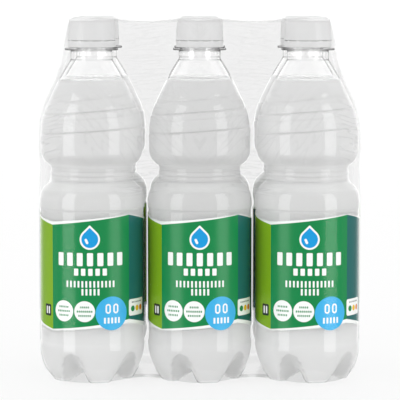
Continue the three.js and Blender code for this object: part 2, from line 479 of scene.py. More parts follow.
@dataclass(frozen=True)
class CloudyDrink(Finish):
    """A cloudy soft drink: milky water that light wanders through, so its shading stays even."""

    name = "cloudy_drink"
    # The drink's colour is painted paler low down and greyer towards its top: painted light and
    # shade by height.
    pale: str = "#F5F5F5"
    shaded_top: str = "#E0E0E0"
    low: float = 20.0
    high: float = 185.0
    lowest: float = -0.1
    # The swell just below the waist gathers the light from above, and is painted paler at these
    # heights: a painted band of light.
    swell: tuple[float, float, float, float] = (116.5, 118.0, 121.5, 123.0)
    swell_share: float = 0.8
    through: float = 0.45
    ior: float = 1.34
    roughness: float = 0.3
    wetted_gloss: float = 0.15
    # Only the free top is a bare, mirror-smooth skin. The rest lies against the bottle's wall. A
    # face counts as top by how far its normal points up.
    free_tilt: Point = (0.97, 0.995)
    free_roughness: float = 0.08
    free_gloss: float = 0.45
    scatter: float = 1.0
    scatter_mm: float = 12.0
    cloud_mm: float = 30.0
    cloud_share: float = 0.2

    def shader(self, add: Add) -> bpy.types.Node:
        """Adds a soft body that lets light through, with a glossy free top.

        Args:
            add: Adds a node to the material, as node does.

        Returns:
            The shader for the surface.
        """
        place = add("TexCoord").outputs["Object"]
        cloud = add("TexNoise", {"Vector": place, "Scale": 1 / (self.cloud_mm * MM), "Detail": 2.0})
        height = {"Value": add("SeparateXYZ", {0: place}).outputs[2]}
        # Painted light and shade by height: paler low down, greyer at the top, paler on the swell.
        ends = {"From Min": self.low * MM, "From Max": self.high * MM, "To Min": self.lowest}
        share = add("MapRange", {**height, **ends})
        start, full, last, end = (level * MM for level in self.swell)
        rising = add("MapRange", {**height, "From Min": start, "From Max": full})
        falling = add("MapRange", {**height, "From Min": end, "From Max": last})
        gathered = add("Math", {0: rising, 1: falling}, operation="MULTIPLY")
        clouded = add("Math", {0: cloud, 1: self.cloud_share, 2: share}, operation="MULTIPLY_ADD")
        terms = {0: gathered, 1: -self.swell_share, 2: clouded}
        shade_and_cloud = add("Math", terms, operation="MULTIPLY_ADD", use_clamp=True)
        colours = {MIX_A: linear(self.pale), MIX_B: linear(self.shaded_top)}
        body = {
            "Base Color": add("Mix", {0: shade_and_cloud, **colours}, data_type="RGBA").outputs[MIX_COLOUR],
            "Roughness": self.roughness,
            "IOR": self.ior,
            "Subsurface Weight": self.scatter,
            "Subsurface Radius": (1.0, 1.0, 1.0),
            "Subsurface Scale": self.scatter_mm * MM,
            "Specular IOR Level": self.wetted_gloss,
        }
        passing = add("BsdfTranslucent", {"Color": FULL})
        mixed = add("MixShader", {0: self.through, 1: add("BsdfPrincipled", body), 2: passing})
        normal = add("SeparateXYZ", {0: add("NewGeometry").outputs["Normal"]})
        least, most = self.free_tilt
        free = add("MapRange", {"Value": normal.outputs[2], "From Min": least, "From Max": most})
        facing = add("LayerWeight", {"Blend": EVEN_BLEND}).outputs["Facing"]
        glance = add("Math", {0: facing, 1: GLANCE_POWER}, operation="POWER")
        bare = add("Math", {0: free, 1: self.free_gloss}, operation="MULTIPLY")
        shine = add("Math", {0: glance, 1: bare}, operation="MULTIPLY")
        mirror = add("BsdfGlossy", {"Color": FULL, "Roughness": self.free_roughness})
        return add("MixShader", {0: shine, 1: mixed, 2: mirror})


@dataclass(frozen=True)
class MouldedPolyethylene(Finish):
    """High-density polyethylene, injection moulded: white, waxy and slightly translucent."""

    name = "moulded_polyethylene"
    body: str = "#E0E0E0"
    ior: float = 1.54
    roughness: float = 0.38
    gloss: float = 0.15
    scatter: float = 0.3
    scatter_mm: float = 1.2
    # Light that enters near an outline leaves on its far side, so the outlines are painted
    # darker: a painted shade.
    rim_shade: str = "#BEBEBE"
    rim_from: float = 0.62
    # The mould's fine spark grain, drawn about three times as coarse as it is so that it shows.
    grain_mm: float = 0.35
    grain_depth: float = 0.1
    grain_strength: float = 0.12

    def shader(self, add: Add) -> bpy.types.Node:
        """Adds a waxy body with a fine grain.

        Args:
            add: Adds a node to the material, as node does.

        Returns:
            The shader for the surface.
        """
        place = add("TexCoord").outputs["Object"]
        grain = add("TexNoise", {"Vector": place, "Scale": 1 / (self.grain_mm * MM), "Detail": 2.0})
        relief = {"Strength": self.grain_strength, "Distance": self.grain_depth * MM}
        facing = add("LayerWeight", {"Blend": EVEN_BLEND}).outputs["Facing"]
        rim = add("MapRange", {"Value": facing, "From Min": self.rim_from})
        colours = {MIX_A: linear(self.body), MIX_B: linear(self.rim_shade)}
        body = {
            "Base Color": add("Mix", {0: rim, **colours}, data_type="RGBA").outputs[MIX_COLOUR],
            "Roughness": self.roughness,
            "IOR": self.ior,
            "Subsurface Weight": self.scatter,
            "Subsurface Radius": (1.0, 1.0, 1.0),
            "Subsurface Scale": self.scatter_mm * MM,
            "Specular IOR Level": self.gloss,
            "Normal": add("Bump", {"Height": grain, **relief}),
        }
        return add("BsdfPrincipled", body)


@dataclass(frozen=True)
class ShrinkFilm(Finish):
    """Shrunk low-density polyethylene film: clear, a little hazy, with a soft sheen on creases."""

    name = "shrunk_polyethylene_film"
    tint: str = "#F7F7F7"
    rim_tint: str = "#F2F2F2"
    rim_blend: float = 0.3
    haze: float = 0.004
    haze_colour: str = "#EDEEEE"
    mirror: float = 0.01
    rim_mirror: float = 0.25
    roughness: float = 0.12
    # Shrink marks, fine puckers a few millimetres apart.
    pucker_mm: float = 3.5
    pucker_depth: float = 0.4
    pucker_strength: float = 0.25
    # Creases are fine lines, milkier and shinier than the flat film. Each kind is drawn where a
    # point attribute of its name says, at a slope, with a length and a spacing in millimetres.
    creases: tuple[tuple[str, float, float, float], ...] = (
        ("gathers", 15.0, 22.0, 3.0),
        ("folds", 4.0, 26.0, 2.4),
        ("drapes", -52.0, 20.0, 5.0),
    )
    # A crease runs where a noise lies within a width of its middle. It wanders a little.
    crease_middle: float = 0.5
    crease_width: float = 0.05
    crease_wander: float = 0.1
    crease_haze: float = 0.13
    crease_mirror: float = 0.05
    crease_depth: float = 0.5
    crease_strength: float = 0.9

    def lines(self, add: Add, kind: tuple[str, float, float, float]) -> bpy.types.Node:
        """Adds the nodes that draw one kind of crease, alike on the pack's left and right halves.

        Args:
            add: Adds a node to the material, as node does.
            kind: The attribute's name, the slope in degrees, the length and the spacing.

        Returns:
            The node whose output is 1 on a crease.
        """
        name, slope, length, spacing = kind
        parts = add("SeparateXYZ", {0: add("TexCoord").outputs["Object"]}).outputs
        side = add("Math", {0: parts[0]}, operation="ABSOLUTE")
        turned = {
            "Vector": add("CombineXYZ", {0: side, 1: parts[1], 2: parts[2]}),
            "Rotation": (0.0, math.radians(slope), 0.0),
            "Scale": (length * MM, length * MM, spacing * MM),
        }
        local = add("Mapping", turned, vector_type="TEXTURE")
        size = {"Scale": 1.0, "Detail": 1.0, "Distortion": self.crease_wander}
        wave = add("TexNoise", {"Vector": local, **size})
        off = add("Math", {0: wave, 1: self.crease_middle}, operation="SUBTRACT")
        away = add("Math", {0: off}, operation="ABSOLUTE")
        ends = {"From Max": self.crease_width, "To Min": 1.0, "To Max": 0.0}
        where = add("Attribute", attribute_name=name).outputs["Fac"]
        line = add("MapRange", {"Value": away, **ends})
        return add("Math", {0: line, 1: where}, operation="MULTIPLY")

    def shader(self, add: Add) -> bpy.types.Node:
        """Adds a clear sheet with milky creases, under a soft sheen.

        Args:
            add: Adds a node to the material, as node does.

        Returns:
            The shader for the surface.
        """
        place = add("TexCoord").outputs["Object"]
        size = {"Scale": 1 / (self.pucker_mm * MM), "Detail": 2.0}
        pucker = add("TexNoise", {"Vector": place, **size})
        crease = self.lines(add, self.creases[0])
        for kind in self.creases[1:]:
            crease = add("Math", {0: crease, 1: self.lines(add, kind)}, operation="MAXIMUM")
        relief = {"Strength": self.pucker_strength, "Distance": self.pucker_depth * MM}
        soft = add("Bump", {"Height": pucker, **relief})
        relief = {"Strength": self.crease_strength, "Distance": self.crease_depth * MM}
        bump = add("Bump", {"Height": crease, "Normal": soft, **relief})
        facing = add("LayerWeight", {"Blend": self.rim_blend}).outputs["Facing"]
        tints = {MIX_A: linear(self.tint), MIX_B: linear(self.rim_tint)}
        tint = add("Mix", {0: facing, **tints}, data_type="RGBA").outputs[MIX_COLOUR]
        clear = add("BsdfTransparent", {"Color": tint})
        milk = add("BsdfDiffuse", {"Color": linear(self.haze_colour)})
        haze = add("MapRange", {"Value": crease, "To Min": self.haze, "To Max": self.crease_haze})
        hazy = add("MixShader", {0: haze, 1: clear, 2: milk})
        skin = add("BsdfGlossy", {"Color": FULL, "Roughness": self.roughness, "Normal": bump})
        mirror = mirror_share(add, self.mirror, self.rim_mirror, bump)
        terms = {0: crease, 1: self.crease_mirror, 2: mirror}
        glint = add("Math", terms, operation="MULTIPLY_ADD", use_clamp=True)
        return add("MixShader", {0: glint, 1: hazy, 2: skin})


@dataclass(frozen=True)
class Mark:
    """One simple printed shape, or a row of them: a box with rounded corners, or a disc.

    Places are millimetres along the label from its middle and heights above the feet.
    """

    along: float
    height: float
    wide: float
    tall: float
    corner: float
    colour: str
    pitch: float = 0.0
    count: int = 1
    turn: float = 0.0


LIME = "#84B318"
GREEN = "#0D8D4C"
TEAL = "#176A67"
WHITE = "#FCFEFC"
SKY = "#3DB7EE"
BLUE = "#009FE3"


@dataclass(frozen=True)
class PrintedLabel(Finish):
    """Gravure-printed polypropylene label film: flat bright inks under a satin skin."""

    name = "printed_label_film"
    roughness: float = 0.26
    ior: float = 1.49
    sheen: float = 0.4
    # How soft the print's edges are, in millimetres and, from panel to panel, in degrees.
    edge_mm: float = 0.08
    panel_edge: float = 0.15
    # The ends of a row of marks are held this little beyond their copies.
    row_slack: float = 0.001
    panels: tuple[tuple[float, str], ...] = (
        (-128.0, LIME), (-46.0, GREEN), (46.5, TEAL), (128.0, WHITE),
    )
    field_height: float = 64.1
    marks: tuple[Mark, ...] = (
        # A plain drop: a disc with a square on its corner, in white and then smaller in blue.
        Mark(0.0, 89.3, 12.4, 12.4, 6.2, WHITE),
        Mark(0.0, 93.7, 6.2, 6.2, 0.6, WHITE, turn=45.0),
        Mark(0.0, 89.3, 10.2, 10.2, 5.1, BLUE),
        Mark(0.0, 92.9, 5.1, 5.1, 0.4, BLUE, turn=45.0),
        Mark(-2.0, 88.2, 1.5, 3.4, 0.75, WHITE, turn=-24.0),
        # Rows of plain blocks.
        Mark(0.1, 77.1, 3.7, 8.0, 0.7, WHITE, pitch=6.3, count=7),
        Mark(0.3, 69.4, 2.7, 4.3, 0.5, WHITE, pitch=4.4, count=5),
        Mark(0.2, 62.0, 1.15, 4.0, 0.3, WHITE, pitch=2.42, count=13),
        Mark(0.3, 57.2, 1.2, 4.0, 0.3, WHITE, pitch=2.45, count=5),
        # Discs, with rows of small blocks on them.
        Mark(-17.0, 45.3, 12.9, 12.9, 6.45, WHITE),
        Mark(-17.0, 47.9, 0.7, 1.2, 0.2, GREEN, pitch=1.15, count=6),
        Mark(-17.0, 45.3, 0.8, 1.2, 0.2, GREEN, pitch=1.25, count=7),
        Mark(-17.0, 42.7, 0.7, 1.2, 0.2, GREEN, pitch=1.15, count=6),
        Mark(-3.4, 45.3, 12.8, 12.8, 6.4, WHITE),
        Mark(-3.4, 47.9, 0.7, 1.2, 0.2, GREEN, pitch=1.15, count=5),
        Mark(-3.4, 45.3, 0.8, 1.2, 0.2, GREEN, pitch=1.25, count=8),
        Mark(-3.4, 42.7, 0.7, 1.2, 0.2, GREEN, pitch=1.15, count=7),
        Mark(13.7, 43.9, 20.7, 20.7, 10.35, SKY),
        Mark(13.7, 46.8, 3.4, 6.0, 1.7, WHITE, pitch=5.0, count=2),
        Mark(13.7, 46.8, 1.5, 4.1, 0.75, SKY, pitch=5.0, count=2),
        Mark(13.7, 39.6, 1.2, 3.6, 0.3, WHITE, pitch=2.3, count=5),
        # A white tile with three spots, and a small dark tile.
        Mark(34.0, 46.4, 16.0, 10.2, 1.4, WHITE),
        Mark(29.6, 45.6, 3.6, 3.6, 1.8, "#1E8A4C"),
        Mark(34.0, 45.6, 3.6, 3.6, 1.8, "#F2C21B"),
        Mark(38.4, 45.6, 3.6, 3.6, 1.8, "#E77E24"),
        Mark(34.0, 49.5, 0.8, 0.9, 0.2, "#5C6660", pitch=1.4, count=8),
        Mark(-30.7, 44.8, 6.4, 7.2, 1.0, "#26352A"),
        Mark(-30.7, 44.8, 1.3, 4.6, 0.5, WHITE, pitch=2.4, count=2),
        # Plain grey rows on the pale back panel.
        *(Mark(90.0, 88.0 - 4.2 * i, 1.6, 1.1, 0.2, "#7C8C84", pitch=2.3, count=11)
          for i in range(10)),
    )

    def mask(self, add: Add, place: bpy.types.NodeSocket, mark: Mark) -> bpy.types.Node:
        """Adds the nodes that are 1 inside a mark and 0 outside it.

        Args:
            add: Adds a node to the material, as node does.
            place: The socket that gives millimetres along the label and up it.
            mark: The shape.

        Returns:
            The node whose output is the mask.
        """
        middle = (mark.along, mark.height, 0.0)
        local = add("VectorMath", {0: place, 1: middle}, operation="SUBTRACT")
        if mark.turn:
            turned = {"Vector": local, "Angle": math.radians(mark.turn)}
            local = add("VectorRotate", turned, rotation_type="Z_AXIS")
        if mark.count > 1:
            # Each point is measured from its nearest copy. An even count is a half step off the
            # middle.
            shift = 0.0 if mark.count % 2 else mark.pitch / 2
            reach = (mark.count - 1) / 2 * mark.pitch + self.row_slack
            x, y, _ = add("SeparateXYZ", {0: local}).outputs
            moved = add("Math", {0: x, 1: shift}, operation="ADD")
            halfway = add("Math", {0: moved, 1: mark.pitch / 2}, operation="ADD")
            nearest = add("Math", {0: halfway, 1: mark.pitch}, operation="SNAP")
            copy = add("Math", {0: nearest, 1: shift}, operation="SUBTRACT")
            held = add("Clamp", {"Value": copy, "Min": -reach, "Max": reach})
            along = add("Math", {0: x, 1: held}, operation="SUBTRACT")
            local = add("CombineXYZ", {0: along, 1: y})
        inner = (mark.wide / 2 - mark.corner, mark.tall / 2 - mark.corner, 0.0)
        size = add("VectorMath", {0: local}, operation="ABSOLUTE")
        beyond = add("VectorMath", {0: size, 1: inner}, operation="SUBTRACT")
        clipped = add("VectorMath", {0: beyond, 1: (0.0, 0.0, 0.0)}, operation="MAXIMUM")
        distance = add("VectorMath", {0: clipped}, operation="LENGTH").outputs["Value"]
        ends = {"From Min": mark.corner - self.edge_mm, "From Max": mark.corner + self.edge_mm}
        return add("MapRange", {"Value": distance, **ends, "To Min": 1.0, "To Max": 0.0})

    def shader(self, add: Add) -> bpy.types.Node:
        """Adds the panels, the white borders and the marks, one printed over another.

        Args:
            add: Adds a node to the material, as node does.

        Returns:
            The shader for the surface.
        """
        place = add("UVMap", uv_map="place").outputs[0]
        around, down, _ = add("SeparateXYZ", {0: add("UVMap", uv_map="field")}).outputs
        limits = [(around, angle, self.panel_edge) for angle, _ in self.panels]
        limits += [(down, 0.0, self.edge_mm), (down, self.field_height, self.edge_mm)]
        *past, above, below = (
            add("MapRange", {"Value": value, "From Min": at - edge, "From Max": at + edge})
            for value, at, edge in limits
        )
        inside = add("Math", {0: above, 1: below}, operation="SUBTRACT")
        layers = [(step, None, linear(ink)) for step, (_, ink) in zip(past, self.panels)]
        layers.append((inside, linear(WHITE), None))
        layers += [(self.mask(add, place, mark), None, linear(mark.colour)) for mark in self.marks]
        # Each layer covers the print so far, and the borders' white covers what is beyond them.
        colour: Any = linear(WHITE)
        for share, under, over in layers:
            colours = {0: share, MIX_A: under or colour, MIX_B: over or colour}
            colour = add("Mix", colours, data_type="RGBA").outputs[MIX_COLOUR]
        skin = {"Roughness": self.roughness, "IOR": self.ior, "Specular IOR Level": self.sheen}
        return add("BsdfPrincipled", {"Base Color": colour, **skin})


@dataclass(frozen=True)
class LightTable(Finish):
    """Sand-blasted opal acrylic, lit from below: a plain matt floor, nearly without shadow."""

    name = "opal_acrylic"
    body: str = "#707070"
    glow: float = 0.78
    roughness: float = 0.9
    gloss: float = 0.1

    def shader(self, add: Add) -> bpy.types.Node:
        """Adds a matt sheet that glows.

        Args:
            add: Adds a node to the material, as node does.

        Returns:
            The shader for the surface.
        """
        glow = {"Emission Color": FULL, "Emission Strength": self.glow}
        skin = {"Roughness": self.roughness, "Specular IOR Level": self.gloss}
        return add("BsdfPrincipled", {"Base Color": linear(self.body), **skin, **glow})


@dataclass(frozen=True)
class BlackVelvet(Finish):
    """Black velvet, woven with a deep pile: the cloth that keeps light out of the reflections."""

    name = "black_velvet"
    body: str = "#060606"
    # The pile's tufts, drawn several times as coarse as they are so that they show.
    pile_mm: float = 6.0

    def shader(self, add: Add) -> bpy.types.Node:
        """Adds a matt cloth, all but black.

        Args:
            add: Adds a node to the material, as node does.

        Returns:
            The shader for the surface.
        """
        place = add("TexCoord").outputs["Object"]
        pile = add("TexNoise", {"Vector": place, "Scale": 1 / (self.pile_mm * MM)})
        colours = {0: pile, MIX_A: linear("#000000"), MIX_B: linear(self.body)}
        colour = add("Mix", colours, data_type="RGBA").outputs[MIX_COLOUR]
        return add("BsdfDiffuse", {"Color": colour})


@dataclass(frozen=True)
class GreyCard(Finish):
    """Pressed grey board, painted as lit: it glows evenly of itself, a pale, even field in
    reflections.
    """

    name = "grey_card"
    glow: float = 0.38
    # The board's fibres, drawn coarser than they are so that they show.
    fibre_mm: float = 3.0
    fibre_share: float = 0.03

    def shader(self, add: Add) -> bpy.types.Node:
        """Adds an even glow with a trace of fibres.

        Args:
            add: Adds a node to the material, as node does.

        Returns:
            The shader for the surface.
        """
        place = add("TexCoord").outputs["Object"]
        fibre = add("TexNoise", {"Vector": place, "Scale": 1 / (self.fibre_mm * MM)})
        terms = {0: fibre, 1: self.fibre_share, 2: self.glow}
        return add("Emission", {"Strength": add("Math", terms, operation="MULTIPLY_ADD")})


@dataclass
class Finishes:
    """The pack's materials, each made once."""

    pet: bpy.types.Material = field(default_factory=ClearPet().make)
    drink: bpy.types.Material = field(default_factory=CloudyDrink().make)
    cap: bpy.types.Material = field(default_factory=MouldedPolyethylene().make)
    label: bpy.types.Material = field(default_factory=PrintedLabel().make)
    film: bpy.types.Material = field(default_factory=ShrinkFilm().make)


def add_piece(
    name: str, mesh: bpy.types.Mesh, finish: bpy.types.Material, replaced: str,
    place: Place | None = None,
) -> None:
    """Puts a mesh into the scene as a piece of the pack.

    Args:
        name: The piece's name.
        mesh: Its mesh, which several pieces may share.
        finish: Its material.
        replaced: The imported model's node that it stands for.
        place: The bottle that it belongs to, or None where the mesh is already in place.
    """
    piece = placed(name, mesh)
    if not mesh.materials:
        mesh.materials.append(finish)
    if place is not None:
        piece.location = (place.x, place.y, place.foot)
        piece.rotation_euler.z = place.row.value
    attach(piece, BODY)
    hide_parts(replaced)
    mesh.calc_loop_triangles()
    LOG.info("%s: %d triangles, for %s", name, len(mesh.loop_triangles), replaced)


@dataclass
class BottleShape:
    """A half-litre bottle's outer surface, and what the drink and the wall take from it."""

    sides: int = 96
    body_radius: float = 32.5
    swell_radius: float = 31.5
    # The outside as strokes from the middle of the base up to the mouth.
    start: Point = (1.2, 5.5)
    strokes: tuple[Stroke, ...] = (
        # The base and the feet.
        ((12.0, 5.3), (20.5, 0.25), 1.6),
        ((22.75, -0.25), (25.0, 0.25), 0.9),
        ((32.05, 11.0), (32.5, 22.0), 0.9),
        # The label's recess and the belt above it.
        ((32.5, 23.2), (31.9, 24.5), 0.8),
        (None, (31.9, 104.5), 8.0),
        ((31.9, 105.6), (32.25, 106.2), 0.5),
        ((32.5, 106.7), (32.5, 107.6), 0.5),
        (None, (32.5, 110.0), 1.2),
        # The waist.
        ((32.3, 116.5), (28.8, 119.8), 0.8),
        (None, (25.8, 122.6), 0.6),
        ((25.2, 123.1), (25.2, 123.8), 0.35),
        (None, (25.2, 130.9), 0.35),
        ((25.2, 132.0), (26.4, 132.8), 0.35),
        # The swell, the shoulder and the cone above it.
        ((31.5, 136.0), (31.5, 143.0), 0.8),
        (None, (31.5, 152.0), 0.5),
        ((31.5, 162.0), (26.6, 171.8), 0.5),
        (None, (25.6, 173.7), 0.5),
        ((20.9, 184.8), (13.15, 196.6), 1.4),
        # The neck with its flange.
        ((12.8, 197.3), (12.8, 198.2), 0.4),
        (None, (12.8, 202.7), 1.2),
        ((12.8, 203.1), (13.2, 203.1), 0.3),
        (None, (16.1, 203.1), 1.2),
        ((16.3, 203.1), (16.3, 203.35), 0.3),
        (None, (16.3, 204.05), 0.7),
        ((16.3, 204.3), (16.1, 204.3), 0.3),
        (None, (13.2, 204.3), 1.2),
        # The mouth, below the cap.
        (None, (12.6, 221.3), 3.0),
        ((12.6, 221.7), (12.2, 221.7), 0.3),
    )
    mouth: Point = (11.2, 221.7)
    bore: tuple[Stroke, ...] = ((None, (10.9, 221.4), 1.0), (None, (10.9, 198.5), 3.0))
    # The inside follows the outside at the wall's thickness up to here, at every few rings.
    wall: float = 0.9
    inside_high: float = 196.5
    inside_step: int = 5
    # The drink's skin lies this far inside the bottle's, just within the wall.
    drink_inset: float = 0.3
    drink_level: float = 184.7
    # At its rim the drink creeps up the wall: how high it starts, and how far in it levels out.
    meniscus: Point = (0.15, 0.54)
    meniscus_turn: float = 0.5
    meniscus_reach: float = 2.2
    # How far apart the rings of the drink's top are, at its rim and over the rest.
    top_steps: Point = (0.5, 2.5)
    feet: int = 5
    foot_turn: float = 14.3
    # Between the feet the underside is an arched valley, from the dome up to the wall. To each side
    # it falls, by degrees and millimetres.
    dome_height: float = 5.5
    valley_top: float = 19.8
    valley_power: float = 3.0
    valley_falls: tuple[Point, ...] = (
        (0.0, 0.0), (6.9, 1.5), (11.4, 4.2), (13.5, 6.0), (15.5, 7.8),
        (18.3, 9.6), (21.0, 10.8), (24.0, 11.7), (28.0, 12.4), (36.0, 13.0),
    )
    valley_edge: float = 0.2
    # Two soft rings round the waist.
    waist_rings: Point = (128.0, 124.9)
    waist_ring_width: float = 1.0
    waist_ring_rise: float = 0.45
    # Tilted creases round the shoulder, as height and strength: each is lowest at ledge_lowest.
    # Below a crease the wall stands out by a step that fades downwards.
    ledges: tuple[Point, ...] = ((173.2, 0.35), (165.8, 1.0), (161.6, 0.25), (154.1, 1.0))
    ledge_tilt: float = 2.3
    ledge_lowest: float = -98.0
    ledge_depth: float = 0.4
    ledge_width: float = 0.55
    ledge_step: float = 0.35
    ledge_turn: float = 0.7
    ledge_fade: float = 7.0
    # A round thumb dimple on each side of the shoulder, as angle and height.
    dimples: tuple[Point, ...] = ((70.0, 146.8), (-110.0, 146.8))
    dimple_radius: float = 4.6
    dimple_flat: float = 0.55
    dimple_depth: float = 1.7
    # Painted shade: dark lines at level edges where the wall turns sharply, as height and strength.
    edges: tuple[Point, ...] = (
        (133.0, 0.6), (129.5, 0.4), (126.6, 0.6), (123.4, 0.45), (117.6, 0.3), (106.4, 0.5),
    )
    # How dark and wide the painted shade lines along creases and edges are.
    crease_dark: float = 0.3
    crease_width: float = 0.4
    # Painted shade: the arches between the feet are dark from where they have risen this much.
    valley_dark: float = 0.36
    valley_risen: Point = (0.3, 1.5)
    # Painted shade: under the shoulder's swell, where the wall turns the light away, it is darker
    # down to a sharp edge.
    under_dark: float = 0.3
    under_high: float = 142.0
    under_full: float = 134.5
    under_low: float = 133.2
    # How thick the wall looks, by height, which sets its painted dark outline and painted shade:
    # some in the feet, most at the sharp turn below the neck and in the flange.
    thickness: tuple[Point, ...] = (
        (1.0, 0.6), (4.0, 0.45), (9.0, 0.0), (184.0, 0.0), (187.0, 0.7), (196.4, 0.7),
        (197.1, 1.7), (197.8, 0.8), (201.4, 0.8), (202.0, 1.7), (203.6, 1.9), (204.0, 1.1),
        (204.6, 1.0),
    )
    lining: float = 0.25

    def plain(self) -> np.ndarray:
        """Makes the outside without its feet, rings, creases and dimples."""
        return revolved(drawn(self.start, self.strokes), self.sides)

    def base_rise(self, grid: np.ndarray) -> np.ndarray:
        """How far the underside arches up between the feet.

        Args:
            grid: The plain outside.

        Returns:
            The rise of each point.
        """
        radius, height, angle = polar(grid)
        share = np.minimum(radius / self.body_radius, 1.0)
        climb = (self.valley_top - self.dome_height) * share**self.valley_power
        spacing = 360 / self.feet
        across = np.abs(np.mod(angle - self.foot_turn, spacing) - spacing / 2)
        over = self.dome_height + climb - np.interp(across, *zip(*self.valley_falls)) - height
        return (over + np.sqrt(over**2 + self.valley_edge**2)) / 2

    def creases(self, angle: np.ndarray) -> list[tuple[np.ndarray, float]]:
        """Says where the tilted creases run.

        Args:
            angle: Angles from the front.

        Returns:
            Each crease's height at each angle, and its strength.
        """
        swing = self.ledge_tilt * np.cos(np.radians(angle - self.ledge_lowest))
        return [(level - swing, strength) for level, strength in self.ledges]

    def relief(self, grid: np.ndarray) -> np.ndarray:
        """How far the outside stands out from its plain form, in rings, creases and dimples.

        Args:
            grid: The plain outside.

        Returns:
            The distance outwards of each point.
        """
        _, height, angle = polar(grid)
        rise = np.zeros_like(height)
        for level in self.waist_rings:
            rise += self.waist_ring_rise * ridge(height - level, self.waist_ring_width)
        for level, strength in self.creases(angle):
            below = level - height
            fade = np.clip(1 - below / self.ledge_fade, 0.0, 1.0)
            step = self.ledge_step * (eased(below, 0.0, self.ledge_turn) * fade)
            rise += strength * (step - self.ledge_depth * ridge(below, self.ledge_width))
        for turn, level in self.dimples:
            around = np.radians(np.mod(angle - turn + 180, 360) - 180)
            apart = np.hypot(around * self.swell_radius, height - level)
            flat = self.dimple_radius * self.dimple_flat
            rise -= self.dimple_depth * (1 - eased(apart, flat, self.dimple_radius))
        return rise

    def surface(self) -> np.ndarray:
        """Makes the whole outside.

        Returns:
            An array of rings by sides by x, y, z.
        """
        grid = self.plain()
        rise, relief = self.base_rise(grid), self.relief(grid)
        grid = grid + outward(grid) * relief[..., None]
        grid[..., 2] += rise
        return grid

    def painted_shades(self, grid: np.ndarray) -> np.ndarray:
        """Paints shade on the wall along each crease, edge and foot, and under the swell.

        Args:
            grid: The finished outside.

        Returns:
            The painted shade of each point.
        """
        _, height, angle = polar(grid)
        under = eased(-height, -self.under_high, -self.under_full) * (height > self.under_low)
        valley = eased(self.base_rise(self.plain()), *self.valley_risen)
        dark = np.maximum(self.valley_dark * valley, self.under_dark * under)
        for level, strength in (*self.creases(angle), *self.edges):
            line = ridge(level - height, self.crease_width)
            dark = np.maximum(dark, self.crease_dark * strength * line)
        return dark

    def shell(self) -> bpy.types.Mesh:
        """Makes the bottle's wall, with its outside, mouth, bore and inside.

        Returns:
            The mesh.
        """
        grid = self.surface()
        covered = int(np.argmax(self.plain()[:, 0, 2] > self.inside_high))
        inside = (grid - outward(grid) * self.wall)[: covered : self.inside_step]
        bore = revolved(drawn(self.mouth, self.bore), self.sides)
        lining = np.full(bore[..., 2].size, self.lining)
        # The two points that shut the ends aren't seen, nor is the inside.
        hidden = np.zeros(inside[..., 2].size + 2)
        thick = np.interp(grid[..., 2], *zip(*self.thickness)).ravel()
        mesh = lathe_mesh("pet_bottle", np.concatenate([grid, bore, inside[::-1]]))
        painted_shades = self.painted_shades(grid).ravel()
        wall = np.concatenate([thick, lining, hidden])
        give_shares(mesh, {"wall": wall, "bend": np.concatenate([painted_shades, 0 * lining, hidden])})
        return mesh

    def drink(self) -> bpy.types.Mesh:
        """Makes the drink, which fills the bottle up to its level and creeps up the wall a little.

        Returns:
            The mesh.
        """
        grid = self.surface()
        under = int(np.argmax(self.plain()[:, 0, 2] > self.drink_level))
        filled = (grid - outward(grid) * self.drink_inset)[:under]
        filled = filled[filled[:, :, 2].mean(axis=1) < self.drink_level]
        rim = float(np.hypot(filled[-1, 0, 0], filled[-1, 0, 1]))
        level, (inset, rise) = self.drink_level, self.meniscus
        close, wide = self.top_steps
        low = ((rim - self.meniscus_turn, level), (rim - self.meniscus_reach, level), close)
        top = drawn((rim - inset, level + rise), (low, (None, (POLE_RADIUS, level), wide)))
        return lathe_mesh("drink", np.concatenate([filled, revolved(top, self.sides)]))


